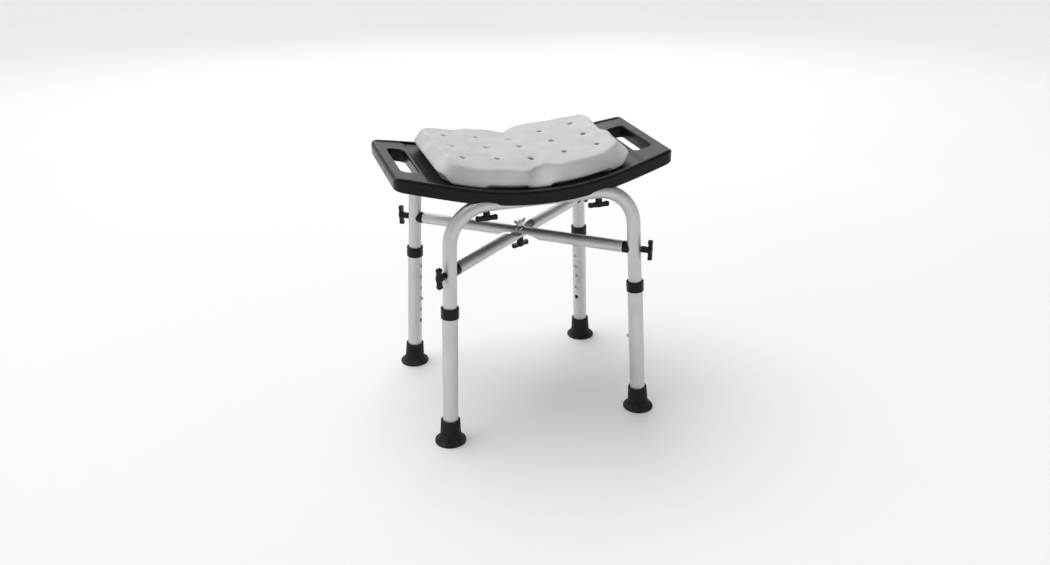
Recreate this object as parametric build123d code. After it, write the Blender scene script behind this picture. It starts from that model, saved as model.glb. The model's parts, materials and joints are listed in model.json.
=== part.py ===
"""Backless shower bench with height-adjustable legs and a loose foam cushion.

The long side of the bench runs along X, the user faces -Y and Z points up.
The origin is on the floor under the middle of the bench. All lengths are mm.
One STEP file is written for every separate physical piece.
"""
import math
import os

from build123d import *

# Bench seat
seat_half_length = 257.0
seat_half_depth_middle = 157.0
seat_half_depth_end = 122.0
seat_corner_radius = 22.0
seat_rim_height = 470.0
seat_thickness = 25.0
seat_curve_radius = 700.0
seat_curve_half_width = 150.0
seat_plate_thickness = 4.0
seat_wall = 3.0
seat_rim_round = 5.0
seat_end_round = 9.0
seat_rim_width = 10.0
seat_rim_step = 1.5
pad_pocket_step = 3.5
pad_pocket_half_length = 189.0
pad_pocket_ramp = 10.0
hand_hole_inner_x = 203.0
hand_hole_outer_x = 235.0
hand_hole_half_length = 72.0
hand_hole_corner = 10.0
hand_hole_round = 3.5
seat_lower_round = 2.0
drain_radius = 4.0
boss_radius = 11.5
channel_half_length = 112.0

# Cushion
cushion_half_length = 182.0
cushion_half_depth_middle = 137.0
cushion_half_depth_end = 116.0
cushion_corner_radius = 14.0
cushion_thickness = 42.0
cushion_bevel = 10.0
cushion_gap = 0.4
cushion_hole_spacing_x = 66.5
cushion_hole_spacing_y = 71.0

# Legs
foot_centre_x = 190.0
foot_centre_y = 160.6
splay_x = 0.046
splay_y = 0.045
frame_tube_radius = 12.7
frame_tube_wall = 1.2
frame_top_height = 451.0
frame_bend_radius = 72.0
frame_tube_end_height = 117.0
leg_tube_radius = 14.3
leg_tube_wall = 1.2
leg_tube_bottom = 8.0
leg_tube_top = 264.0
collar_bottom = 249.0
collar_top = 269.0
collar_radius = 16.4
collar_round = 1.0
collar_mouth_depth = 4.0
collar_lip = 1.2
sliding_gap = 0.35
button_height = 153.0
hole_spacing = 25.4
holes_above_button = 3
holes_below_button = 2
leg_hole_radius = 4.3

# Feet
foot_base_radius = 29.0
foot_base_height = 4.0
foot_height = 44.5
foot_neck_radius = 18.0
foot_neck_base_radius = 19.4
foot_bell_height = 17.0
foot_recess_depth = 2.0
foot_recess_rings = ((25.0, 19.5), (17.5, 11.0))
foot_base_round = 1.4
foot_lip = 2.5
foot_bell_swell = 1.6

# Spring clips that hold the leg height
button_radius = 3.95
button_reach = 18.2
clip_thickness = 0.8
clip_half_width = 4.0
clip_front = 10.3
clip_back = -8.4
clip_arm = 40.0
clip_front_half_height = 7.0
clip_back_high = 8.0
clip_back_low = -9.0

# Cross braces
brace_height = 334.0
brace_radius = 11.1
brace_wall = 1.2
brace_dent_radius = 40.0
brace_dent_half_flat = 16.0
brace_dent_gap = 0.25
brace_end_distance = 21.0
cap_plug_length = 24.0
cap_horn_start = 6.8
cap_insert_length = 12.0
insert_radius = 4.9

# T knobs and their steel studs
stud_radius = 3.0
stud_hole_radius = 3.4
thread_gap = 0.2
knob_length = 40.0
knob_width = 12.5
knob_bar_thickness = 8.0
knob_stem_radius = 6.2
knob_waist_radius = 16.0
knob_waist_depth = 1.9
knob_saddle_radius = 30.0
knob_saddle_depth = 0.9
knob_outer_round = 2.0
knob_inner_round = 1.2
knob_flutes = 8
knob_flute_radius = 1.1
brace_knob_stem = 13.0
seat_knob_stem = 7.4
seat_knob_x = 104.0
seat_insert_length = 7.0
middle_knob_stem = 10.0
brace_knob_gap = 0.8
seat_knob_gap = 1.1
touch_gap = 0.3
bore_gap = 0.05
stud_end_cover = 3.2
bore_end_cover = 3.0

# Lengths of the tools that cut holes: each only has to reach right through its piece
long_cut = 60.0
short_cut = 30.0
seat_tool_base = 400.0
seat_tool_height = 150.0

# Middle bolt
washer_thickness = 1.6
washer_radius = 9.5
wing_hub_height = 7.5
wing_hub_radius = 6.0
wing_reach = 13.5
wing_height = 13.0
wing_thickness = 2.6
wing_turn = 20.0
bolt_end_reach = 4.5
middle_knob_direction = (0.9, 0.44, 0)
washer_gap = 0.1

left_right = (("left", -1), ("right", 1))
front_rear = (("front", -1), ("rear", 1))
corners = [(f"{depth_name}_{side_name}", sx, sy)
           for depth_name, sy in front_rear for side_name, sx in left_right]

curve_angle = math.asin(seat_curve_half_width / seat_curve_radius)
curve_centre_z = seat_rim_height + seat_curve_radius
plate_bottom = pad_pocket_step + seat_plate_thickness


def rod(start, direction, length, radius):
    """Round bar that starts at a point and runs along a direction."""
    bar = Cylinder(radius, length, align=(Align.CENTER, Align.CENTER, Align.MIN))
    return Plane(origin=start, z_dir=direction) * bar


def leg_point(sx, sy, height):
    """Point on the centre line of a leg at a height above the floor."""
    return Vector(sx * (foot_centre_x - height * splay_x),
                  sy * (foot_centre_y - height * splay_y), height)


def leg_up(sx, sy):
    """Unit vector up along the centre line of a leg."""
    return Vector(-sx * splay_x, -sy * splay_y, 1).normalized()


def brace_inward(sx, sy):
    """Level unit vector from a leg towards the opposite leg."""
    at_leg = leg_point(sx, sy, brace_height)
    return Vector(-at_leg.X, -at_leg.Y, 0).normalized()


def button_outward(sx, sy):
    """Unit vector square to the leg, pointing the way its button faces."""
    up = leg_up(sx, sy)
    inward = brace_inward(sx, sy)
    return (inward - up * inward.dot(up)).normalized()


def seat_surface(x, below=0.0):
    """Height of the seat surface at x, or of a curve a distance below it."""
    radius = seat_curve_radius + below
    tangent_x = radius * math.sin(curve_angle)
    if abs(x) <= tangent_x:
        return curve_centre_z - math.sqrt(radius ** 2 - x ** 2)
    rise = (abs(x) - tangent_x) * math.tan(curve_angle)
    return curve_centre_z - radius * math.cos(curve_angle) + rise


def seat_curve_line(below, reach_x, way):
    """Lines along the seat curve at a distance below it, towards +X or -X."""
    radius = seat_curve_radius + below
    tangent_x = radius * math.sin(curve_angle) * way
    end = (reach_x * way, seat_surface(reach_x, below))
    near = (tangent_x, seat_surface(tangent_x, below))
    middle = (0, seat_surface(0, below))
    far = (-tangent_x, near[1])
    other_end = (-end[0], end[1])
    return [Line(other_end, far), ThreePointArc(far, middle, near), Line(near, end)]


def seat_band(top_below, bottom_below, reach_x=300.0, end_round=0.0):
    """Slab that follows the seat curve between two distances below it."""
    upper = seat_curve_line(top_below, reach_x, 1)
    lower = seat_curve_line(bottom_below, reach_x, -1)
    right = Line(upper[2] @ 1, lower[0] @ 0)
    left = Line(lower[2] @ 1, upper[0] @ 0)
    outline = make_face(Curve() + upper + [right] + lower + [left])
    if end_round:
        end_height = seat_surface(reach_x, top_below)
        upper_ends = [vertex for vertex in outline.vertices()
                      if abs(abs(vertex.X) - reach_x) < 0.01 and abs(vertex.Y - end_height) < 0.01]
        outline = fillet(upper_ends, end_round)
    return extrude(Plane.XZ * outline, 200, both=True)


def pad_pocket():
    """Space cut into the seat for the cushion, with a ramp at each end."""
    reach_x = pad_pocket_half_length
    floor = seat_curve_line(pad_pocket_step, reach_x, -1)
    corner_x = reach_x + pad_pocket_ramp
    corner_z = seat_surface(corner_x, seat_rim_step)
    above = seat_surface(corner_x, -20)
    left_ramp = Line(floor[2] @ 1, (-corner_x, corner_z))
    left_side = Line((-corner_x, corner_z), (-corner_x, above))
    lid = Line((-corner_x, above), (corner_x, above))
    right_side = Line((corner_x, above), (corner_x, corner_z))
    right_ramp = Line((corner_x, corner_z), floor[0] @ 0)
    outline = make_face(Curve() + floor + [left_ramp, left_side, lid, right_side, right_ramp])
    return extrude(Plane.XZ * outline, 200, both=True)


def bowed_outline(half_length, half_depth_middle, half_depth_end, corner):
    """Plan outline with straight ends and bowed long sides."""
    front = ThreePointArc((-half_length, -half_depth_end), (0, -half_depth_middle),
                          (half_length, -half_depth_end))
    right = Line((half_length, -half_depth_end), (half_length, half_depth_end))
    back = ThreePointArc((half_length, half_depth_end), (0, half_depth_middle),
                         (-half_length, half_depth_end))
    left = Line((-half_length, half_depth_end), (-half_length, -half_depth_end))
    face = make_face(Curve() + [front, right, back, left])
    return fillet(face.vertices(), corner)


def seat_column(inset):
    """Upright column with the plan outline of the seat, moved in by an inset."""
    outline = bowed_outline(seat_half_length - inset, seat_half_depth_middle - inset,
                            seat_half_depth_end - inset, seat_corner_radius - inset)
    return Pos(0, 0, seat_tool_base) * extrude(outline, seat_tool_height)


def hand_hole_column(sx, grow=0.0):
    """Upright column through one hand-hole, widened by a margin."""
    middle_x = sx * (hand_hole_inner_x + hand_hole_outer_x) / 2
    width = hand_hole_outer_x - hand_hole_inner_x + 2 * grow
    length = 2 * (hand_hole_half_length + grow)
    outline = RectangleRounded(width, length, hand_hole_corner + grow)
    return Pos(middle_x, 0, seat_tool_base) * extrude(outline, seat_tool_height)


def on_seat_surface(point, below=0.0):
    """True for a point that lies on the seat curve."""
    return abs(point.Z - seat_surface(point.X, below)) < 0.01


def long_rim_edges(solid, below):
    """Edges that run round the seat on its top or its underside."""
    chosen = []
    for edge in solid.edges():
        ends_on_top = all(on_seat_surface(edge @ t, below) for t in (0.0, 0.3, 0.7, 1.0))
        crosses_seat = edge.length > 200 and abs((edge @ 0.5).X) < seat_half_length - 1 \
            and abs((edge @ 0.5).Y) < 5
        if ends_on_top and not crosses_seat:
            chosen.append(edge)
    return chosen


def hand_hole_edges(solid, below):
    """Edges round the mouths of the hand-holes at one depth in the seat."""
    chosen = []
    for edge in solid.edges():
        middle = edge @ 0.5
        near_hole = hand_hole_inner_x - 1 < abs(middle.X) < hand_hole_outer_x + 1
        if near_hole and abs(middle.Y) < hand_hole_half_length + 1:
            if all(on_seat_surface(edge @ t, below) for t in (0.0, 0.5, 1.0)):
                chosen.append(edge)
    return chosen


def seat_knob_point(sx, sy):
    """Point on the top tube's centre line over one seat knob."""
    top = leg_point(sx, sy, frame_top_height)
    return Vector(sx * seat_knob_x, top.Y, frame_top_height)


def tube_channel(sy, radius):
    """Space under the seat for one frame tube, open downwards."""
    middle_y = leg_point(1, sy, frame_top_height).Y
    slot = Box(2 * channel_half_length, 2 * radius, frame_tube_radius + 20,
               align=(Align.CENTER, Align.CENTER, Align.MAX))
    return frame_path_solid(sy, radius) + Pos(0, middle_y, frame_top_height) * slot


def inside_rims():
    """Upright column between the two long rims, open at the ends of the seat."""
    outline = bowed_outline(seat_half_length + 20, seat_half_depth_middle - seat_rim_width,
                            seat_half_depth_end - seat_rim_width - 6, 2)
    return Pos(0, 0, seat_tool_base) * extrude(outline, seat_tool_height)


def make_seat():
    """Hollow moulded bench seat with hand-holes and channels for the frame tubes."""
    body = seat_band(0, seat_thickness) & seat_column(0)
    body = fillet(long_rim_edges(body, 0), seat_rim_round)
    body = fillet(long_rim_edges(body, seat_thickness), seat_lower_round)
    between_rims = inside_rims()
    body -= seat_band(-20, seat_rim_step) & between_rims
    body -= pad_pocket() & between_rims
    body &= seat_band(seat_rim_step - 0.8, seat_thickness + 1, seat_half_length, seat_end_round) \
        + seat_band(-5, seat_thickness + 1, seat_half_length - seat_end_round - 3)
    for _, sx in left_right:
        body -= hand_hole_column(sx)
    body = fillet(hand_hole_edges(body, seat_rim_step), hand_hole_round)
    body = fillet(hand_hole_edges(body, seat_thickness), seat_lower_round)

    cavity = seat_band(plate_bottom, seat_thickness - seat_wall) & seat_column(seat_wall + 0.5)
    for _, sx in left_right:
        cavity -= hand_hole_column(sx, seat_wall)
    for _, sy in front_rear:
        cavity -= tube_channel(sy, frame_tube_radius + touch_gap + seat_wall)
        body -= tube_channel(sy, frame_tube_radius + touch_gap)
    for _, sx, sy in corners:
        knob = seat_knob_point(sx, sy)
        cavity -= rod(knob, (0, 0, 1), long_cut, boss_radius)
        body -= rod(knob, (0, 0, 1), frame_tube_radius + seat_insert_length,
                    insert_radius + bore_gap)
    for column in (-2, -1, 0, 1, 2):
        for row in (-1, 0, 1):
            low = (column * cushion_hole_spacing_x, row * cushion_hole_spacing_y, seat_tool_base)
            cavity -= rod(low, (0, 0, 1), seat_tool_height, drain_radius + seat_wall)
            body -= rod(low, (0, 0, 1), seat_tool_height, drain_radius)
    return body - cavity


def make_cushion():
    """Foam cushion: a curved pad with bevelled edges."""
    outline = bowed_outline(cushion_half_length, cushion_half_depth_middle,
                            cushion_half_depth_end, cushion_corner_radius)
    bottom = pad_pocket_step - cushion_gap
    top = bottom - cushion_thickness
    column = Pos(0, 0, seat_tool_base) * extrude(outline, seat_tool_height)
    pad = seat_band(top, bottom) & column
    upper_edges = [edge for edge in pad.edges()
                   if all(on_seat_surface(edge @ t, top) for t in (0.0, 0.3, 0.7, 1.0))
                   and not (edge.length > 150 and abs((edge @ 0.5).Y) < 5
                            and abs((edge @ 0.5).X) < cushion_half_length - 1)]
    return chamfer(upper_edges, cushion_bevel)


def frame_plane(sy):
    """Plane that holds the centre line of one inverted-U frame tube."""
    origin = (0, leg_point(1, sy, frame_top_height).Y, frame_top_height)
    return Plane(origin=origin, x_dir=(1, 0, 0), z_dir=(0, -1, -sy * splay_y))


def frame_path(sy):
    """Centre line of one inverted-U frame tube."""
    lean = math.sqrt(1 + splay_y ** 2)
    low = (frame_tube_end_height - frame_top_height) * lean
    low_x = foot_centre_x - frame_tube_end_height * splay_x
    top_x = foot_centre_x - frame_top_height * splay_x
    points = [(-low_x, low), (-top_x, 0), (top_x, 0), (low_x, low)]
    return frame_plane(sy) * FilletPolyline(*points, radius=frame_bend_radius)


def frame_path_solid(sy, radius):
    """Solid bar along one frame tube's centre line."""
    path = frame_path(sy)
    section = Plane(origin=path @ 0, z_dir=path % 0) * Circle(radius)
    return sweep(section, path=path)


def make_frame_tube(sy):
    """Inverted-U frame tube with its bolt holes and button holes."""
    tube = frame_path_solid(sy, frame_tube_radius)
    tube -= frame_path_solid(sy, frame_tube_radius - frame_tube_wall)
    for _, sx in left_right:
        at_brace = leg_point(sx, sy, brace_height)
        outward = brace_inward(sx, sy) * -1
        tube -= rod(at_brace + outward * -short_cut, outward, long_cut, stud_hole_radius)
        at_button = leg_point(sx, sy, button_height)
        tube -= rod(at_button, button_outward(sx, sy), short_cut, leg_hole_radius)
        knob = seat_knob_point(sx, sy)
        tube -= rod(knob - Vector(0, 0, short_cut), (0, 0, 1), long_cut, stud_hole_radius)
    return tube


def make_leg_tube(sx, sy):
    """Lower leg tube with its row of height holes."""
    start = leg_point(sx, sy, leg_tube_bottom)
    up = leg_up(sx, sy)
    length = (leg_tube_top - leg_tube_bottom) / up.Z
    tube = rod(start, up, length, leg_tube_radius)
    tube -= rod(start, up, length, leg_tube_radius - leg_tube_wall)
    for step in range(-holes_below_button, holes_above_button + 1):
        middle = leg_point(sx, sy, button_height) + up * (step * hole_spacing)
        tube -= rod(middle, button_outward(sx, sy), short_cut, leg_hole_radius)
    return tube


def make_collar(sx, sy):
    """Plastic collar that caps the lower leg tube and guides the frame tube."""
    up = leg_up(sx, sy)
    start = leg_point(sx, sy, collar_bottom)
    length = (collar_top - collar_bottom) / up.Z
    collar = rod(start, up, length, collar_radius)
    collar = fillet(collar.edges().filter_by(GeomType.CIRCLE), collar_round)
    collar -= rod(start, up, length, frame_tube_radius + sliding_gap)
    mouth_start = length - collar_mouth_depth
    mouth = Cone(frame_tube_radius + sliding_gap, collar_radius - collar_lip, collar_mouth_depth,
                 align=(Align.CENTER, Align.CENTER, Align.MIN))
    collar -= Plane(origin=start + up * mouth_start, z_dir=up) * mouth
    tube_seat = (leg_tube_top - collar_bottom) / up.Z + bore_gap
    collar -= rod(start, up, tube_seat, leg_tube_radius + bore_gap)
    return collar


def make_foot(sx, sy):
    """Rubber foot with a flared base and a socket for the leg tube."""
    up = leg_up(sx, sy)
    floor = leg_point(sx, sy, 0)
    axis_length = foot_height / up.Z
    base_edge = foot_base_radius - foot_lip
    bell_low = foot_base_height - 1
    bell_middle = (foot_neck_base_radius + foot_bell_swell, foot_bell_height - 6)
    profile = make_face(Curve() + [
        Line((0, bell_low), (base_edge, bell_low)),
        Spline((base_edge, bell_low), bell_middle, (foot_neck_base_radius, foot_bell_height),
               tangents=[(-1, 0.45), (-0.04, 1)]),
        Line((foot_neck_base_radius, foot_bell_height), (foot_neck_radius, axis_length)),
        Line((foot_neck_radius, axis_length), (0, axis_length)),
        Line((0, axis_length), (0, bell_low))])
    bell = revolve(Plane.XZ * profile, Axis.Z)
    bell = Plane(origin=floor, z_dir=up) * bell
    base = Pos(floor.X, floor.Y, 0) * Cylinder(
        foot_base_radius, foot_base_height, align=(Align.CENTER, Align.CENTER, Align.MIN))
    base = fillet(base.edges().filter_by(GeomType.CIRCLE), foot_base_round)
    foot = base + bell
    socket = leg_point(sx, sy, leg_tube_bottom)
    foot -= rod(socket, up, long_cut, leg_tube_radius + bore_gap)
    for outer, inner in foot_recess_rings:
        groove = Cylinder(outer, 2 * foot_recess_depth) - Cylinder(inner, 2 * foot_recess_depth)
        foot -= Pos(floor.X, floor.Y, 0) * groove
    return foot


def make_button_clip(sx, sy):
    """Spring clip inside the frame tube with the button that locks the leg."""
    up = leg_up(sx, sy)
    outward = button_outward(sx, sy)
    middle = leg_point(sx, sy, button_height)
    plane = Plane(origin=middle, x_dir=outward, z_dir=outward.cross(up))
    arm_path = Polyline((clip_front, -clip_front_half_height), (clip_front, clip_front_half_height),
                        (1.0, clip_arm), (clip_back, clip_back_high), (clip_back, clip_back_low))
    strip = offset(arm_path, amount=clip_thickness / 2, side=Side.BOTH)
    strip = plane * extrude(make_face(strip.edges()), clip_half_width, both=True)
    stem_end = button_reach - button_radius + 1.0
    start = middle + outward * clip_front
    button = rod(start, outward, stem_end - clip_front, button_radius)
    dome = Pos(*(middle + outward * stem_end)) * Sphere(button_radius)
    ahead = rod(middle + outward * (stem_end - 0.01), outward, short_cut, 2 * button_radius)
    return strip + button + (dome & ahead)


def brace_dent(inward, dent_side, grow):
    """Space pressed into the middle of a brace: flat, with rounded ramps."""
    radius = brace_dent_radius + grow
    centre_z = brace_height + dent_side * (brace_dent_radius - brace_dent_gap)
    centre = Vector(0, 0, centre_z)
    across = inward.cross(Vector(0, 0, 1))
    block = Box(2 * brace_dent_half_flat, long_cut, 2 * radius)
    space = Plane(origin=centre, x_dir=inward, z_dir=(0, 0, 1)) * block
    for way in (-1, 1):
        ramp_centre = centre + inward * (way * brace_dent_half_flat)
        space += rod(ramp_centre - across * short_cut, across, long_cut, radius)
    return space


def make_brace(sx, dent_side):
    """Cross-brace tube, dented in the middle so it nests with the other one.

    It runs from the rear leg on the -sx side to the front leg on the sx side.
    dent_side is -1 for a dent from below and 1 for a dent from above.
    """
    inward = brace_inward(sx, -1)
    start = leg_point(sx, -1, brace_height) + inward * brace_end_distance
    length = 2 * (leg_point(sx, -1, brace_height) - Vector(0, 0, brace_height)).length
    length -= 2 * brace_end_distance
    middle = Vector(0, 0, brace_height)
    brace = rod(start, inward, length, brace_radius)
    brace -= brace_dent(inward, dent_side, 0)
    hollow = rod(start, inward, length, brace_radius - brace_wall)
    hollow -= brace_dent(inward, dent_side, brace_wall)
    brace -= hollow
    brace -= rod(middle - Vector(0, 0, short_cut), (0, 0, 1), long_cut, stud_hole_radius)
    return brace


def make_brace_cap(sx, sy):
    """Plastic end cap of a brace: a saddle against the leg and a plug."""
    inward = brace_inward(sx, sy)
    at_leg = leg_point(sx, sy, brace_height)
    flange = rod(at_leg + inward * cap_horn_start, inward,
                 brace_end_distance - cap_horn_start, brace_radius)
    up = leg_up(sx, sy)
    flange -= rod(at_leg - up * short_cut, up, long_cut, frame_tube_radius + touch_gap)
    plug = rod(at_leg + inward * brace_end_distance, inward, cap_plug_length,
               brace_radius - brace_wall - bore_gap)
    cap = flange + plug
    cap -= rod(at_leg, inward, long_cut, stud_hole_radius)
    pocket = brace_end_distance + cap_plug_length - cap_insert_length
    cap -= rod(at_leg + inward * pocket, inward, short_cut, insert_radius + bore_gap)
    return cap


def threaded_insert(start, direction, length):
    """Brass insert that a stud screws into."""
    insert = rod(start, direction, length, insert_radius)
    return insert - rod(start, direction, length, stud_radius + thread_gap)


def make_cap_inserts():
    """The four brass inserts in the brace end caps."""
    inserts = []
    for _, sx, sy in corners:
        inward = brace_inward(sx, sy)
        pocket = brace_end_distance + cap_plug_length - cap_insert_length
        start = leg_point(sx, sy, brace_height) + inward * (pocket + bore_gap)
        inserts.append(threaded_insert(start, inward, cap_insert_length - bore_gap))
    return Compound(children=inserts)


def make_seat_inserts():
    """The four brass inserts in the bosses under the seat."""
    inserts = []
    for _, sx, sy in corners:
        knob = seat_knob_point(sx, sy)
        start = (knob.X, knob.Y, frame_top_height + frame_tube_radius + touch_gap + 0.1)
        inserts.append(threaded_insert(start, (0, 0, 1), seat_insert_length - 0.5))
    return Compound(children=inserts)


def make_handle(place, stem_length):
    """T-shaped knob standing on a plane, with its bar along the plane's x."""
    bar = SlotOverall(knob_length, knob_width)
    waist_middle = knob_width / 2 + knob_waist_radius - knob_waist_depth
    for way_x in (-1, 1):
        for way_y in (-1, 1):
            bar -= Pos(way_x * knob_length / 4, way_y * waist_middle) * Circle(knob_waist_radius)
    grip = Pos(0, 0, stem_length) * extrude(bar, knob_bar_thickness)
    grip = fillet(grip.edges().group_by(Axis.Z)[-1], knob_outer_round)
    grip = fillet(grip.edges().group_by(Axis.Z)[0], knob_inner_round)
    for way_x in (-1, 1):
        saddle = Pos(way_x * knob_length / 4, 0, stem_length - knob_saddle_radius + knob_saddle_depth)
        grip -= saddle * Rot(90, 0, 0) * Cylinder(knob_saddle_radius, knob_width + 2)
    stem = Cylinder(knob_stem_radius, stem_length + 1,
                    align=(Align.CENTER, Align.CENTER, Align.MIN))
    stem = chamfer(stem.edges().group_by(Axis.Z)[0], 0.8)
    for flute in range(knob_flutes):
        angle = (flute + 0.5) * 360 / knob_flutes
        side = Rot(0, 0, angle) * Pos(knob_stem_radius + 0.5, 0, 2.0)
        stem -= side * Cylinder(knob_flute_radius, stem_length,
                                align=(Align.CENTER, Align.CENTER, Align.MIN))
    depth = stem_length + knob_bar_thickness - bore_end_cover
    bore = Cylinder(stud_radius + bore_gap, depth, align=(Align.CENTER, Align.CENTER, Align.MIN))
    return place * (grip + stem - bore)


def brace_knob_place(sx, sy):
    """Plane on the outer face of a leg, facing away from the bench."""
    outward = brace_inward(sx, sy) * -1
    at_leg = leg_point(sx, sy, brace_height)
    origin = at_leg + outward * (frame_tube_radius + brace_knob_gap)
    return Plane(origin=origin, x_dir=(0, 0, 1), z_dir=outward)


def seat_knob_place(sx, sy):
    """Plane under the frame tube, facing down."""
    knob = seat_knob_point(sx, sy)
    origin = (knob.X, knob.Y, frame_top_height - frame_tube_radius - seat_knob_gap)
    return Plane(origin=origin, x_dir=(1, 0, 0), z_dir=(0, 0, -1))


def make_brace_stud(sx, sy):
    """Steel stud of a brace knob, through the leg into the end cap."""
    place = brace_knob_place(sx, sy)
    inside = brace_knob_stem + knob_bar_thickness - stud_end_cover
    reach = brace_knob_gap + frame_tube_radius + brace_end_distance + cap_plug_length - 1
    return rod(place.origin + place.z_dir * inside, place.z_dir * -1, inside + reach, stud_radius)


def make_seat_stud(sx, sy):
    """Steel stud of a seat knob, up through the tube into the seat."""
    place = seat_knob_place(sx, sy)
    inside = seat_knob_stem + knob_bar_thickness - stud_end_cover
    reach = 2 * frame_tube_radius + seat_knob_gap + seat_insert_length - 0.6
    return rod(place.origin + place.z_dir * inside, place.z_dir * -1, inside + reach, stud_radius)


def make_washer():
    """Curved steel washer between the wing nut and the upper brace."""
    inward = brace_inward(1, -1)
    middle = Vector(0, 0, brace_height)
    disc = rod(middle, (0, 0, 1), short_cut, washer_radius)
    inner = brace_radius + washer_gap
    disc &= rod(middle - inward * short_cut, inward, long_cut, inner + washer_thickness)
    disc -= rod(middle - inward * short_cut, inward, long_cut, inner)
    return disc - rod(middle, (0, 0, 1), short_cut, stud_hole_radius)


wing_base = brace_height + brace_radius + washer_gap + washer_thickness + washer_gap


def make_wing_nut():
    """Wing nut on top of the brace crossing."""
    hub = Cone(wing_hub_radius, wing_hub_radius - 1.6, wing_hub_height,
               align=(Align.CENTER, Align.CENTER, Align.MIN))
    wing = make_face(Curve() + [
        Line((2, 0.6), (5.4, 0.6)),
        Spline((5.4, 0.6), (9.0, 4.5), (wing_reach, 9.0), (wing_reach - 1.5, wing_height),
               (8.6, wing_height - 1.5), (3.6, wing_hub_height - 0.6)),
        Line((3.6, wing_hub_height - 0.6), (2, wing_hub_height - 0.6)),
        Line((2, wing_hub_height - 0.6), (2, 0.6))])
    plate = extrude(Plane.XZ * wing, wing_thickness / 2, both=True)
    nut = hub + plate + plate.mirror(Plane.YZ)
    nut -= Cylinder(stud_radius + thread_gap, long_cut)
    return Pos(0, 0, wing_base) * Rot(0, 0, wing_turn) * nut


middle_knob_top = brace_height - brace_radius - touch_gap


def make_middle_stud():
    """Steel bolt through both braces, fixed in the middle knob."""
    low = middle_knob_top - middle_knob_stem - knob_bar_thickness + stud_end_cover
    high = wing_base + wing_hub_height + bolt_end_reach
    return rod((0, 0, low), (0, 0, 1), high - low, stud_radius)


def main():
    os.makedirs("parts", exist_ok=True)
    pieces = {"bench_seat": make_seat(), "cushion": make_cushion()}
    for depth_name, sy in front_rear:
        pieces[f"{depth_name}_frame_tube"] = make_frame_tube(sy)
    pieces["upper_brace"] = make_brace(1, -1)
    pieces["lower_brace"] = make_brace(-1, 1)
    pieces["brace_cap_inserts"] = make_cap_inserts()
    pieces["seat_inserts"] = make_seat_inserts()
    for name, sx, sy in corners:
        pieces[f"brace_cap_{name}"] = make_brace_cap(sx, sy)
        pieces[f"leg_tube_{name}"] = make_leg_tube(sx, sy)
        pieces[f"leg_collar_{name}"] = make_collar(sx, sy)
        pieces[f"foot_{name}"] = make_foot(sx, sy)
        pieces[f"button_clip_{name}"] = make_button_clip(sx, sy)
        pieces[f"brace_knob_{name}"] = make_handle(brace_knob_place(sx, sy), brace_knob_stem)
        pieces[f"brace_stud_{name}"] = make_brace_stud(sx, sy)
        pieces[f"seat_knob_{name}"] = make_handle(seat_knob_place(sx, sy), seat_knob_stem)
        pieces[f"seat_stud_{name}"] = make_seat_stud(sx, sy)
    middle_place = Plane(origin=(0, 0, middle_knob_top), x_dir=middle_knob_direction, z_dir=(0, 0, -1))
    pieces["middle_knob"] = make_handle(middle_place, middle_knob_stem)
    pieces["middle_bolt"] = make_middle_stud()
    pieces["curved_washer"] = make_washer()
    pieces["wing_nut"] = make_wing_nut()
    for name, shape in pieces.items():
        export_step(shape, f"parts/{name}.step")


main()
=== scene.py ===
import json
import math
import bmesh
import bpy
from mathutils import Matrix, Vector, noise


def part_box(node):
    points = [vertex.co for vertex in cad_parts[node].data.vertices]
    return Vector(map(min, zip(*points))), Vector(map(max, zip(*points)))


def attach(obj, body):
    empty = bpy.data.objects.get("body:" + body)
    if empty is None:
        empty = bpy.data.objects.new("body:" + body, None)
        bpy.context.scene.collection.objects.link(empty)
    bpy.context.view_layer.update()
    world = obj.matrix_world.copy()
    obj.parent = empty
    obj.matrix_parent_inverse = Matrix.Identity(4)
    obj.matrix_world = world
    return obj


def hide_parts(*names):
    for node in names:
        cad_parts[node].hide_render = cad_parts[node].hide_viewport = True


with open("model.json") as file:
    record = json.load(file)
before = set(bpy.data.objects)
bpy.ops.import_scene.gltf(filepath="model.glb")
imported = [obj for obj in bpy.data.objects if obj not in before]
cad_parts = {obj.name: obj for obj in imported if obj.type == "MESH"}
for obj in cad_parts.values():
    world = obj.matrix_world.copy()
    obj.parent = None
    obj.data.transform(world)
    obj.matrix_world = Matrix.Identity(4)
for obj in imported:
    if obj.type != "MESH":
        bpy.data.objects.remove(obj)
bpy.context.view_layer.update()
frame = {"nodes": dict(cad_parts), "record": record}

# Lengths are in metres. These are shared by the foam's look and the pad's shape.
MM = 0.001
hole_pitch_x = 66.5 * MM
hole_pitch_y = 71 * MM
hole_radius = 4.4 * MM
pad_curve_radius = 703.1 * MM
pad_low, pad_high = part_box("cushion")
pad_curve_centre_z = pad_low.z + pad_curve_radius


# ---------------------------------------------------------------- camera
def aim_camera(place, yaw, pitch, roll, lens):
    """Camera at a place; yaw turns it to +X, pitch tips it down, roll leans it, in degrees."""
    yaw, pitch, roll = (math.radians(angle) for angle in (yaw, pitch, roll))
    ahead = Vector((math.sin(yaw) * math.cos(pitch), math.cos(yaw) * math.cos(pitch), -math.sin(pitch)))
    right = Vector((math.cos(yaw), -math.sin(yaw), 0))
    up = right.cross(ahead)
    rolled_right = right * math.cos(roll) + up * math.sin(roll)
    rolled_up = up * math.cos(roll) - right * math.sin(roll)
    turn = Matrix((rolled_right, rolled_up, -ahead)).transposed()
    data = bpy.data.cameras.new("camera")
    data.sensor_fit = "HORIZONTAL"
    data.sensor_width = 36
    data.lens = lens
    camera = bpy.data.objects.new("camera", data)
    camera.matrix_world = Matrix.Translation(place) @ turn.to_4x4()
    bpy.context.scene.collection.objects.link(camera)
    bpy.context.scene.camera = camera


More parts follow.
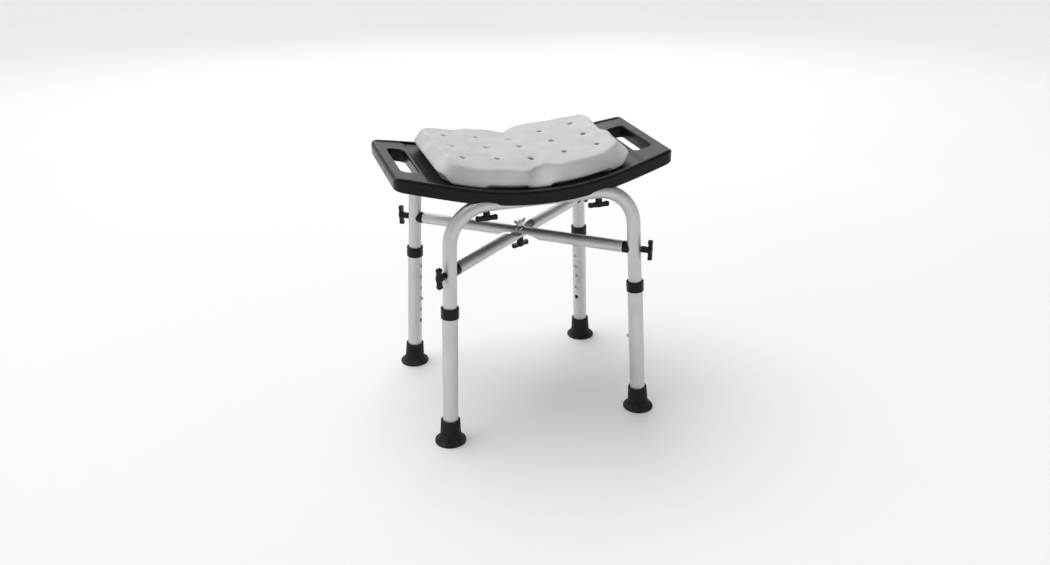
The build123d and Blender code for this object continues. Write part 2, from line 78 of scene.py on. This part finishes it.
aim_camera(place=(-0.5192, -1.6642, 1.0306), yaw=17.615, pitch=24.775, roll=-0.466, lens=33.42)


# ---------------------------------------------------------------- materials
class Look:
    """A material whose colour, roughness and bump come from noise in the object's own space."""

    def __init__(self, name, **sockets):
        self.material = bpy.data.materials.new(name)
        self.material.use_nodes = True
        self.tree = self.material.node_tree
        self.shader = self.tree.nodes["Principled BSDF"]
        for socket, value in sockets.items():
            self.shader.inputs[socket.replace("_", " ")].default_value = value
        self.place = self.add("ShaderNodeTexCoord").outputs["Object"]
        self.normal = None

    def add(self, kind, **inputs):
        """A new node; each input is a number, a colour or another node's output."""
        node = self.tree.nodes.new(kind)
        for socket, value in inputs.items():
            self.feed(node.inputs[socket.replace("_", " ")], value)
        return node

    def feed(self, socket, value):
        """Links a node's output to a socket, or sets the socket to a number or colour."""
        if isinstance(value, bpy.types.NodeSocket):
            self.tree.links.new(value, socket)
        else:
            socket.default_value = value

    def moved(self, stretch=(1, 1, 1), turn=(0, 0, 0)):
        """The object's own coordinates, turned and stretched."""
        node = self.add("ShaderNodeMapping", Vector=self.place, Scale=stretch, Rotation=turn)
        return node.outputs["Vector"]

    def noise(self, scale, detail=3.0, roughness=0.55, distortion=0.0, **placing):
        node = self.add("ShaderNodeTexNoise", Vector=self.moved(**placing), Scale=scale, Detail=detail,
                        Roughness=roughness, Distortion=distortion)
        return node.outputs["Fac"]

    def cells(self, scale):
        """Distance to the nearest of many scattered points, for pores and coarse grain."""
        return self.add("ShaderNodeTexVoronoi", Vector=self.moved(), Scale=scale).outputs["Distance"]

    def spread(self, value, low, high, out_low=0.0, out_high=1.0):
        """Stretches the range low to high of a value onto out_low to out_high, clamped."""
        node = self.add("ShaderNodeMapRange", Value=value, From_Min=low, From_Max=high,
                        To_Min=out_low, To_Max=out_high)
        return node.outputs["Result"]

    def maths(self, operation, *values):
        """The result of one of the math node's operations."""
        node = self.add("ShaderNodeMath")
        node.operation = operation
        for socket, value in zip(node.inputs, values):
            self.feed(socket, value)
        return node.outputs["Value"]

    def times(self, first, second):
        return self.maths("MULTIPLY", first, second)

    def plus(self, first, second):
        return self.maths("ADD", first, second)

    def wrapped(self, value, span):
        """A coordinate as its distance to the nearest whole multiple of span."""
        return self.maths("WRAP", value, -span / 2, span / 2)

    def blend(self, amount, first, second):
        """Colour that goes from first to second with amount."""
        node = self.add("ShaderNodeMix", Factor=amount)
        node.data_type = "RGBA"
        # The mix node's colour sockets come after its number and vector ones.
        colour_in, colour_out = node.inputs[6:8], node.outputs[2]
        for socket, colour in zip(colour_in, (first, second)):
            self.feed(socket, colour if isinstance(colour, bpy.types.NodeSocket) else (*colour, 1))
        return colour_out

    def coordinate(self, axis):
        """One coordinate of the point, in metres."""
        return self.add("ShaderNodeSeparateXYZ", Vector=self.place).outputs[axis]

    def colour(self, value):
        self.feed(self.shader.inputs["Base Color"], value)

    def rough(self, value):
        self.feed(self.shader.inputs["Roughness"], value)

    def bump(self, height, depth, strength):
        """Adds one layer of relief on top of the layers before it."""
        node = self.add("ShaderNodeBump", Height=height, Distance=depth, Strength=strength)
        if self.normal:
            self.feed(node.inputs["Normal"], self.normal)
        self.normal = node.outputs["Normal"]
        self.feed(self.shader.inputs["Normal"], self.normal)


def moulded_plastic(name, grain_scale, grain_depth, rough_low, rough_high):
    """Black moulded plastic with a fine grain, faint handling marks and a little dust."""
    black, worn, dust = (0.0045, 0.0045, 0.005), (0.008, 0.008, 0.009), (0.0208, 0.0208, 0.0234)
    look = Look(name, IOR=1.47, Specular_IOR_Level=0.22)
    cloud = look.noise(14, detail=4)
    marks = look.noise(60, detail=6, roughness=0.65, stretch=(1, 0.35, 1), distortion=0.6)
    tone = look.blend(look.spread(cloud, 0.35, 0.68), black, worn)
    look.colour(look.blend(look.times(look.spread(marks, 0.60, 0.78), 0.25), tone, dust))
    look.rough(look.plus(look.spread(cloud, 0.3, 0.7, rough_low, rough_high),
                         look.spread(marks, 0.45, 0.75, -0.03, 0.06)))
    look.bump(look.noise(grain_scale, detail=2, roughness=0.5), grain_depth, 0.5)
    look.bump(look.cells(grain_scale * 0.8), grain_depth, 0.35)
    return look.material


def anodised_tube(name, lengthwise, turn=(0, 0, 0)):
    """Satin anodised tube: fine drawing lines along it, soft stains and a few scuffs."""
    look = Look(name, Metallic=0.82, Anisotropic=0.35)
    along = {"X": (0.02, 1, 1), "Z": (1, 1, 0.02)}[lengthwise]
    lines = look.noise(1500, detail=2, roughness=0.6, stretch=along, turn=turn)
    wide_lines = look.noise(420, detail=2, stretch=along, turn=turn)
    stains = look.noise(22, detail=5, roughness=0.6)
    specks = look.noise(900, detail=2)
    tone = look.blend(look.spread(stains, 0.32, 0.7), (0.57, 0.573, 0.58), (0.675, 0.68, 0.685))
    look.colour(look.blend(look.times(look.spread(lines, 0.45, 0.75), 0.28), tone, (0.47, 0.475, 0.48)))
    look.rough(look.plus(look.spread(stains, 0.3, 0.7, 0.40, 0.49),
                         look.spread(specks, 0.3, 0.7, -0.03, 0.05)))
    look.bump(lines, 0.04 * MM, 0.35)
    look.bump(wide_lines, 0.08 * MM, 0.25)
    look.bump(specks, 0.04 * MM, 0.30)
    return look.material


def foot_rubber(name):
    """Matt rubber, paler and dustier towards the floor."""
    look = Look(name, IOR=1.5, Specular_IOR_Level=0.25)
    cloud = look.noise(45, detail=5, roughness=0.62)
    near_floor = look.spread(look.coordinate("Z"), 16 * MM, 0.0, 0.0, 0.65)
    tone = look.blend(look.spread(cloud, 0.35, 0.7), (0.006, 0.006, 0.0065), (0.013, 0.013, 0.014))
    dusty = look.times(near_floor, look.spread(cloud, 0.42, 0.7))
    look.colour(look.blend(dusty, tone, (0.085, 0.082, 0.078)))
    look.rough(look.spread(cloud, 0.3, 0.7, 0.55, 0.74))
    look.bump(look.noise(1300, detail=2), 0.10 * MM, 0.5)
    look.bump(look.cells(700), 0.08 * MM, 0.3)
    return look.material


def plated_metal(name, bright, dull, rough):
    """Plated or machined metal with faint turning marks and a mottled bloom."""
    look = Look(name, Metallic=1.0)
    cloud = look.noise(160, detail=5)
    marks = look.noise(2600, detail=2, stretch=(1, 1, 0.2))
    look.colour(look.blend(look.spread(cloud, 0.35, 0.68), bright, dull))
    look.rough(look.plus(look.spread(cloud, 0.3, 0.7, rough - 0.05, rough + 0.09),
                         look.spread(marks, 0.3, 0.7, -0.03, 0.04)))
    look.bump(marks, 0.03 * MM, 0.4)
    return look.material


def drain_hole_shade_mask(look):
    """Mask for the painted shade in the pad's drain holes: 1 inside the holes, which stand square to its
    curve, and 0 outside them.
    """
    below_centre = look.maths("SUBTRACT", pad_curve_centre_z, look.coordinate("Z"))
    tilt = look.maths("ARCTANGENT", look.maths("DIVIDE", look.coordinate("X"), below_centre))
    along_curve = look.times(look.maths("SINE", tilt), pad_curve_radius)
    side = look.wrapped(along_curve, hole_pitch_x)
    ahead = look.wrapped(look.coordinate("Y"), hole_pitch_y)
    squared = look.plus(look.times(side, side), look.times(ahead, ahead))
    return look.spread(squared, (hole_radius * 1.15) ** 2, hole_radius ** 2)


def closed_cell_foam(name):
    """Light grey moulded foam: a fine skin of pores and soft mottling, with painted shade in the drain
    holes.
    """
    look = Look(name, IOR=1.4)
    cloud = look.noise(16, detail=4)
    mottle = look.noise(130, detail=5, roughness=0.65)
    pores = look.cells(620)
    fine = look.noise(1900, detail=2)
    tone = look.blend(look.spread(cloud, 0.34, 0.68), (0.57, 0.57, 0.575), (0.635, 0.635, 0.64))
    tone = look.blend(look.times(look.spread(mottle, 0.52, 0.75), 0.35), tone, (0.51, 0.51, 0.515))
    tone = look.blend(look.times(look.spread(pores, 0.22, 0.02), 0.35), tone, (0.42, 0.425, 0.435))
    # Painted shade: the inside of each drain hole is coloured near black to stand in for its shadow.
    look.colour(look.blend(drain_hole_shade_mask(look), tone, (0.07, 0.07, 0.074)))
    look.rough(look.spread(mottle, 0.3, 0.7, 0.78, 0.92))
    look.bump(pores, 0.35 * MM, 0.45)
    look.bump(fine, 0.15 * MM, 0.35)
    look.bump(mottle, 0.6 * MM, 0.30)
    return look.material


slot_looks = {
    "seat_plastic": moulded_plastic("seat_black", 620, 0.16 * MM, 0.27, 0.37),
    "collar_plastic": moulded_plastic("collar_black", 900, 0.10 * MM, 0.27, 0.36),
    "knob_plastic": moulded_plastic("knob_black", 1100, 0.08 * MM, 0.25, 0.34),
    "foot_rubber": foot_rubber("rubber_black"),
    "zinc_steel": plated_metal("zinc_plated", (0.60, 0.60, 0.61), (0.46, 0.465, 0.48), 0.26),
    "insert_brass": plated_metal("brass", (0.80, 0.62, 0.30), (0.62, 0.45, 0.20), 0.30),
    "anodised_aluminium": anodised_tube("anodised_upright", "Z"),
    "foam": closed_cell_foam("foam_grey"),
}
# The braces run from the middle to the legs, this far to the side and to the front or back.
brace_reach_x = 174.636 * MM
brace_reach_y = 145.570 * MM
brace_turn = math.atan2(brace_reach_y, brace_reach_x)
tube_looks = {
    "upper_brace": anodised_tube("anodised_upper_brace", "X", (0, 0, brace_turn)),
    "lower_brace": anodised_tube("anodised_lower_brace", "X", (0, 0, -brace_turn)),
}
for part in frame["record"]["subparts"]:
    node = frame["nodes"][part["node"]]
    node.data.materials.clear()
    node.data.materials.append(tube_looks.get(part["node"], slot_looks[part["material_slot"]]))


# ---------------------------------------------------------------- cushion
pad_clearance = 0.3 * MM
pad_half_length = (pad_high.x - pad_low.x) / 2 - pad_clearance
pad_half_depth = (pad_high.y - pad_low.y) / 2 - pad_clearance
pad_end_loss = 21 * MM
pad_corner_power = 13
pad_thickness = 42 * MM
pad_top_settling = 1.8 * MM
seat_bow_reach, seat_bow_radius = 150 * MM, 700 * MM
pad_curve_angle = math.asin(seat_bow_reach / seat_bow_radius)
outline_search_reach, outline_search_halvings = 400 * MM, 40

# The drain holes' columns run from -last_column to last_column, and their rows the same way.
last_column = 2
last_row = 1
funnel_radius = 8.0 * MM
funnel_depth = 3.2 * MM
funnel_power = 2.4
hollow_radius = 19 * MM
hollow_depth = 1.7 * MM
mouth_flare = 0.25

fold_x = 4 * MM
fold_left_width, fold_right_width = 30 * MM, 10 * MM
fold_power = 1.4
fold_depth_throughout, fold_depth_at_back, fold_depth_at_front = 1.2 * MM, 10.5 * MM, 5.0 * MM

lumps_per_metre = 21
lump_height = 2.0 * MM
front_droop, extra_droop_at_left = 5 * MM, 4 * MM

# The bevel: how far the top edge lies inside the foot. Each wave is times round, height, phase.
bevel_inset = 13.5 * MM
bevel_waves = ((9, 3.0 * MM, 0.6), (17, 1.5 * MM, 2.1))
back_bevel_loss = 4 * MM
facet_x, facet_half_width, facet_inset, facet_power = 6 * MM, 27 * MM, 20 * MM, 3
side_power = 1.1

# Profiles in millimetres: inset from the top edge and drop below the top, then inset from the
# outline and height above the seat, where the pad rests, is stepped up, or is bevelled under.
top_rounding = ((2.6, 0.15), (1.4, 0.6), (0.4, 1.3), (-0.5, 2.4), (-1.3, 4.0))
foot_resting = ((0.3, 5.0), (0.0, 4.0), (0.4, 2.9), (1.2, 1.8), (2.4, 0.9), (3.8, 0.35), (5.5, 0.05))
foot_lifted = ((0.3, 9.5), (0.0, 8.3), (0.5, 7.4), (2.0, 6.9), (12.0, 6.7), (12.8, 3.0), (13.2, 0.05))
foot_tucked = ((0.3, 17.0), (0.0, 15.5), (0.6, 14.2), (4.5, 12.0), (9.5, 8.5), (12.0, 4.0), (13.4, 0.05))
lifted_reaches = ((-97 * MM, -22 * MM), (20 * MM, 133 * MM))
tucked_from, tucked_by = 156 * MM, 176 * MM

# The mesh: a block of cells, one round each hole, and rings from the block down to the underside.
block_half_x = 156 * MM
block_half_y = 91 * MM
block_margin = 4 * MM
under_inset = 16 * MM
cell_side_steps = 14
cell_shares = (0.0, 0.02, 0.045, 0.075, 0.11, 0.15, 0.20, 0.27, 0.36, 0.47, 0.60, 0.74, 0.88, 1.0)
wall_shares = (0.0, 0.08, 0.16, 0.4, 0.7, 0.92, 1.0)


def smooth(value, low, high):
    """0 below low, 1 above high, with a smooth step between."""
    t = min(1.0, max(0.0, (value - low) / (high - low)))
    return t * t * (3 - 2 * t)


def between(points, others, share):
    """Points a share of the way from each point to the other of the same number."""
    return [(x + (far_x - x) * share, y + (far_y - y) * share)
            for (x, y), (far_x, far_y) in zip(points, others)]


def pad_point(x, y, above):
    """Point a distance square above the underside of the pad, which follows the seat's curve."""
    tangent_x = pad_curve_radius * math.sin(pad_curve_angle)
    if abs(x) < tangent_x:
        angle = math.asin(x / pad_curve_radius)
        rise = pad_curve_radius - math.sqrt(pad_curve_radius ** 2 - x ** 2)
    else:
        angle = math.copysign(pad_curve_angle, x)
        rise = pad_curve_radius * (1 - math.cos(pad_curve_angle))
        rise += (abs(x) - tangent_x) * math.tan(pad_curve_angle)
    return Vector((x - above * math.sin(angle), y, pad_low.z + rise + above * math.cos(angle)))


def half_depth_at(x):
    """Half the pad's depth at x: its long sides are bowed."""
    return pad_half_depth - pad_end_loss * min(1.0, (x / pad_half_length) ** 2)


def outline_point(towards_x, towards_y, inset):
    """Where a ray from the middle meets the pad's rounded outline, moved in by an inset."""
    length = math.hypot(towards_x, towards_y)
    step_x, step_y = towards_x / length, towards_y / length
    low, high = 0.0, outline_search_reach
    for _ in range(outline_search_halvings):
        reach = (low + high) / 2
        x, y = step_x * reach, step_y * reach
        share_x = abs(x) / (pad_half_length - inset)
        share_y = abs(y) / (half_depth_at(x) - inset)
        if share_x ** pad_corner_power + share_y ** pad_corner_power < 1:
            low = reach
        else:
            high = reach
    return low * step_x, low * step_y


def fold_depth(x, y):
    """The pad has been folded across its middle: a valley that is deepest at the back edge."""
    side = x - fold_x
    width = fold_left_width if side < 0 else fold_right_width
    valley = math.exp(-(abs(side) / width) ** fold_power)
    back = smooth(y, -10 * MM, 118 * MM)
    front = smooth(-y, 55 * MM, 120 * MM)
    return valley * (fold_depth_at_back * back + fold_depth_at_front * front + fold_depth_throughout)


def nearest_hole(x, y):
    """Distance to the middle of the nearest drain hole."""
    column = max(-last_column, min(last_column, round(x / hole_pitch_x)))
    row = max(-last_row, min(last_row, round(y / hole_pitch_y)))
    return math.hypot(x - column * hole_pitch_x, y - row * hole_pitch_y)


def pad_top(x, y):
    """Height of the pad's top above its underside."""
    away = nearest_hole(x, y)
    hollow = hollow_depth * math.exp(-(away / hollow_radius) ** 2)
    down_funnel = max(0.0, (funnel_radius - away) / (funnel_radius - hole_radius))
    funnel = min(funnel_depth * down_funnel ** funnel_power, funnel_depth)
    lumps = noise.fractal(Vector((x * lumps_per_metre, y * lumps_per_metre, 3.7)), 1.0, 2.0, 3)
    left = smooth(-x, -30 * MM, 50 * MM)
    droop = smooth(-y, 70 * MM, 128 * MM) * (front_droop + extra_droop_at_left * left)
    plain = pad_thickness - pad_top_settling + lumps * lump_height
    return plain - hollow - funnel - fold_depth(x, y) - droop


def top_edge_inset(x, y):
    """How far the pad's top edge lies inside its foot: the bevel is uneven and dips at the fold."""
    around = math.atan2(y / pad_half_depth, x / pad_half_length)
    wave = sum(height * math.sin(times * around + phase) for times, height, phase in bevel_waves)
    along_facet = abs(x - facet_x) / facet_half_width
    facet = facet_inset * smooth(-y, 70 * MM, 110 * MM) * math.exp(-along_facet ** facet_power)
    back = back_bevel_loss * smooth(y, 70 * MM, 110 * MM)
    return bevel_inset + wave + facet - back


def foot_lift(x, y):
    """1 where the pad's lower edge is stepped up off the seat, in two reaches of the front."""
    soft = 2 * MM
    lift = max(min(smooth(x, start - soft, start + soft), smooth(-x, -end - soft, -end + soft))
               for start, end in lifted_reaches)
    return lift * smooth(-y, 80 * MM, 100 * MM)


def foot_place(step, x, y):
    """Inset and height of one step of the pad's lower edge, which is bevelled under at the ends."""
    front = foot_lift(x, y)
    end = smooth(abs(x), tucked_from, tucked_by)
    return [(resting + (lifted - resting) * front + (tucked - resting) * end) * MM
            for resting, lifted, tucked in zip(foot_resting[step], foot_lifted[step], foot_tucked[step])]


def ring_of_cell(edges_x, edges_y, hole, share):
    """Points round one drain hole: a circle at share 0, the edge of its cell at share 1."""
    (left, right), (near, far) = edges_x, edges_y
    corners = [(left, near), (right, near), (right, far), (left, far)]
    edge, circle = [], []
    for (ax, ay), (bx, by) in zip(corners, corners[1:] + corners[:1]):
        for step in range(cell_side_steps):
            t = step / cell_side_steps
            x, y = ax + (bx - ax) * t, ay + (by - ay) * t
            away = math.hypot(x - hole[0], y - hole[1])
            edge.append((x, y))
            circle.append((hole[0] + (x - hole[0]) / away * hole_radius,
                           hole[1] + (y - hole[1]) / away * hole_radius))
    return between(circle, edge, share)


def cell_lines(half, pitch, last):
    """Where the edges of the cells lie along one axis: midway between holes, and the block's ends."""
    return [-half] + [(hole - 0.5) * pitch for hole in range(1 - last, last + 1)] + [half]


def block_edge(lines_x, lines_y):
    """Points round the block of cells, counter-clockwise, on the same grid as the cells."""
    def steps(lines):
        return [a + (b - a) * step / cell_side_steps for a, b in zip(lines, lines[1:])
                for step in range(cell_side_steps)]

    front = [(x, -block_half_y) for x in steps(lines_x)]
    right = [(block_half_x, y) for y in steps(lines_y)]
    back = [(x, block_half_y) for x in steps(lines_x[::-1])]
    left = [(-block_half_x, y) for y in steps(lines_y[::-1])]
    return front + right + back + left


def add_ring(mesh, points, above):
    """Vertices at these points of the pad; above gives each one's height over the underside."""
    return [mesh.verts.new(pad_point(x, y, above(x, y))) for x, y in points]


def stitch(mesh, rings, flip=False):
    """Quads between rings of the same number of vertices."""
    for lower, upper in zip(rings, rings[1:]):
        for i in range(len(lower)):
            j = (i + 1) % len(lower)
            quad = [lower[i], lower[j], upper[j], upper[i]]
            mesh.faces.new(quad[::-1] if flip else quad)


def add_cell(mesh, edges_x, edges_y, hole):
    """One drain hole: the pad's top round it, the hole's wall and the underside round its mouth."""
    def flared(points, flare):
        return [(hole[0] + (x - hole[0]) * flare, hole[1] + (y - hole[1]) * flare) for x, y in points]

    upper = [add_ring(mesh, ring_of_cell(edges_x, edges_y, hole, share), pad_top) for share in cell_shares]
    mouth = ring_of_cell(edges_x, edges_y, hole, 0.0)
    wall = []
    for share in wall_shares:
        flare = 1 + mouth_flare * max(0.0, (share - 0.9) / 0.1)
        wall.append([mesh.verts.new(pad_point(wide_x, wide_y, pad_top(x, y) * (1 - share)))
                     for (wide_x, wide_y), (x, y) in zip(flared(mouth, flare), mouth)])
    stitch(mesh, upper, flip=True)
    stitch(mesh, wall)
    under = []
    for share in cell_shares[::3] + (1.0,):
        points = ring_of_cell(edges_x, edges_y, hole, share)
        points = flared(points, 1 + mouth_flare if share == 0 else 1.0)
        under.append(add_ring(mesh, points, lambda x, y: 0))
    stitch(mesh, under)


def add_rim(mesh, edge):
    """From the block's edge out over the top, down the bevelled side, round the foot and under."""
    feet = [outline_point(x, y, 0.0) for x, y in edge]
    brims = [top_edge_inset(x, y) for x, y in feet]

    def moved_in(insets):
        return [outline_point(x, y, inset) for (x, y), inset in zip(edge, insets)]

    brink = moved_in([brim + block_margin for brim in brims])
    rings = [add_ring(mesh, between(edge, brink, share), pad_top) for share in (0.0, 0.25, 0.5, 0.75, 1.0)]
    for extra, drop in top_rounding:
        points = moved_in([brim + extra * MM for brim in brims])
        rings.append(add_ring(mesh, points, lambda x, y: pad_top(x, y) - drop * MM))
    side_extra, side_drop = top_rounding[-1]
    for share in (0.2, 0.4, 0.6, 0.8):
        points = moved_in([(brim + side_extra * MM) * (1 - share) ** side_power for brim in brims])
        rings.append(add_ring(mesh, points, lambda x, y: (pad_top(x, y) - side_drop * MM) * (1 - share)
                              + foot_place(0, x, y)[1] * share))
    for step in range(len(foot_resting)):
        points = moved_in([foot_place(step, x, y)[0] for x, y in feet])
        rings.append(add_ring(mesh, points, lambda x, y: foot_place(step, x, y)[1]))
    below = moved_in([under_inset] * len(edge))
    rings += [add_ring(mesh, between(edge, below, share), lambda x, y: 0) for share in (0.5, 0.0)]
    stitch(mesh, rings, flip=True)


def make_cushion():
    """The foam pad as one closed mesh."""
    mesh = bmesh.new()
    lines_x = cell_lines(block_half_x, hole_pitch_x, last_column)
    lines_y = cell_lines(block_half_y, hole_pitch_y, last_row)
    for column, edges_x in enumerate(zip(lines_x, lines_x[1:]), -last_column):
        for row, edges_y in enumerate(zip(lines_y, lines_y[1:]), -last_row):
            add_cell(mesh, edges_x, edges_y, (column * hole_pitch_x, row * hole_pitch_y))
    add_rim(mesh, block_edge(lines_x, lines_y))
    bmesh.ops.remove_doubles(mesh, verts=mesh.verts, dist=0.02 * MM)
    bmesh.ops.recalc_face_normals(mesh, faces=mesh.faces)
    data = bpy.data.meshes.new("foam_cushion")
    mesh.to_mesh(data)
    mesh.free()
    data.polygons.foreach_set("use_smooth", [True] * len(data.polygons))
    data.materials.append(slot_looks["foam"])
    pad = bpy.data.objects.new("foam_cushion", data)
    bpy.context.scene.collection.objects.link(pad)
    return pad


cushion = make_cushion()
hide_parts("cushion")
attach(cushion, "cushion")


# ---------------------------------------------------------------- floor and light
def make_floor(half):
    """A square pale floor that reaches half its width each way."""
    data = bpy.data.meshes.new("floor")
    corners = [(-half, -half, 0), (half, -half, 0), (half, half, 0), (-half, half, 0)]
    data.from_pydata(corners, [], [(0, 1, 2, 3)])
    look = Look("floor_white", IOR=1.4)
    cloud = look.noise(0.8, detail=2)
    look.colour(look.blend(look.spread(cloud, 0.3, 0.7), (0.90, 0.90, 0.90), (0.92, 0.92, 0.92)))
    look.rough(look.spread(cloud, 0.3, 0.7, 0.8, 0.9))
    data.materials.append(look.material)
    floor = bpy.data.objects.new("floor", data)
    bpy.context.scene.collection.objects.link(floor)


def add_light(name, kind, energy, towards, place=(0, 0, 0)):
    """A light whose face is square to the direction towards it."""
    data = bpy.data.lights.new(name, kind)
    data.energy = energy
    light = bpy.data.objects.new(name, data)
    light.matrix_world = Matrix.Translation(place) @ towards.to_track_quat("Z", "Y").to_matrix().to_4x4()
    bpy.context.scene.collection.objects.link(light)
    return data


def add_wide_sun(towards, strength, width):
    """A sun as wide as a studio ceiling, its width in degrees."""
    sun = add_light("ceiling_light", "SUN", strength, Vector(towards))
    sun.angle = math.radians(width)


def add_softbox(name, place, size, energy):
    """A lit panel of this size that faces the middle of the bench."""
    middle = Vector((0, 0, 0.35))
    panel = add_light(name, "AREA", energy, Vector(place) - middle, place)
    panel.shape = "RECTANGLE"
    panel.size, panel.size_y = size


def make_studio_world(horizon_strength, ceiling_strength):
    """White light from all round, stronger near the horizon than above."""
    world = bpy.data.worlds.new("studio")
    world.use_nodes = True
    nodes, links = world.node_tree.nodes, world.node_tree.links
    direction = nodes.new("ShaderNodeTexCoord").outputs["Generated"]
    split = nodes.new("ShaderNodeSeparateXYZ")
    fade = nodes.new("ShaderNodeMapRange")
    settings = {"From Min": 0.04, "From Max": 0.26, "To Min": horizon_strength, "To Max": ceiling_strength}
    for socket, number in settings.items():
        fade.inputs[socket].default_value = number
    links.new(direction, split.inputs["Vector"])
    links.new(split.outputs["Z"], fade.inputs["Value"])
    links.new(fade.outputs["Result"], nodes["Background"].inputs["Strength"])
    nodes["Background"].inputs["Color"].default_value = (1, 1, 1, 1)
    bpy.context.scene.world = world


make_floor(half=80.0)
add_wide_sun((-0.22, 0.30, 1.0), 2.2, 60)
add_softbox("softbox_behind", (0.6, 2.9, 2.0), (3.2, 1.6), 24)
add_softbox("softbox_left", (-2.6, -0.3, 1.5), (1.6, 1.6), 5)
add_softbox("softbox_front", (-1.2, -3.0, 1.3), (2.0, 1.2), 2)
make_studio_world(horizon_strength=0.80, ceiling_strength=0.25)
bpy.context.scene.view_settings.view_transform = "Standard"
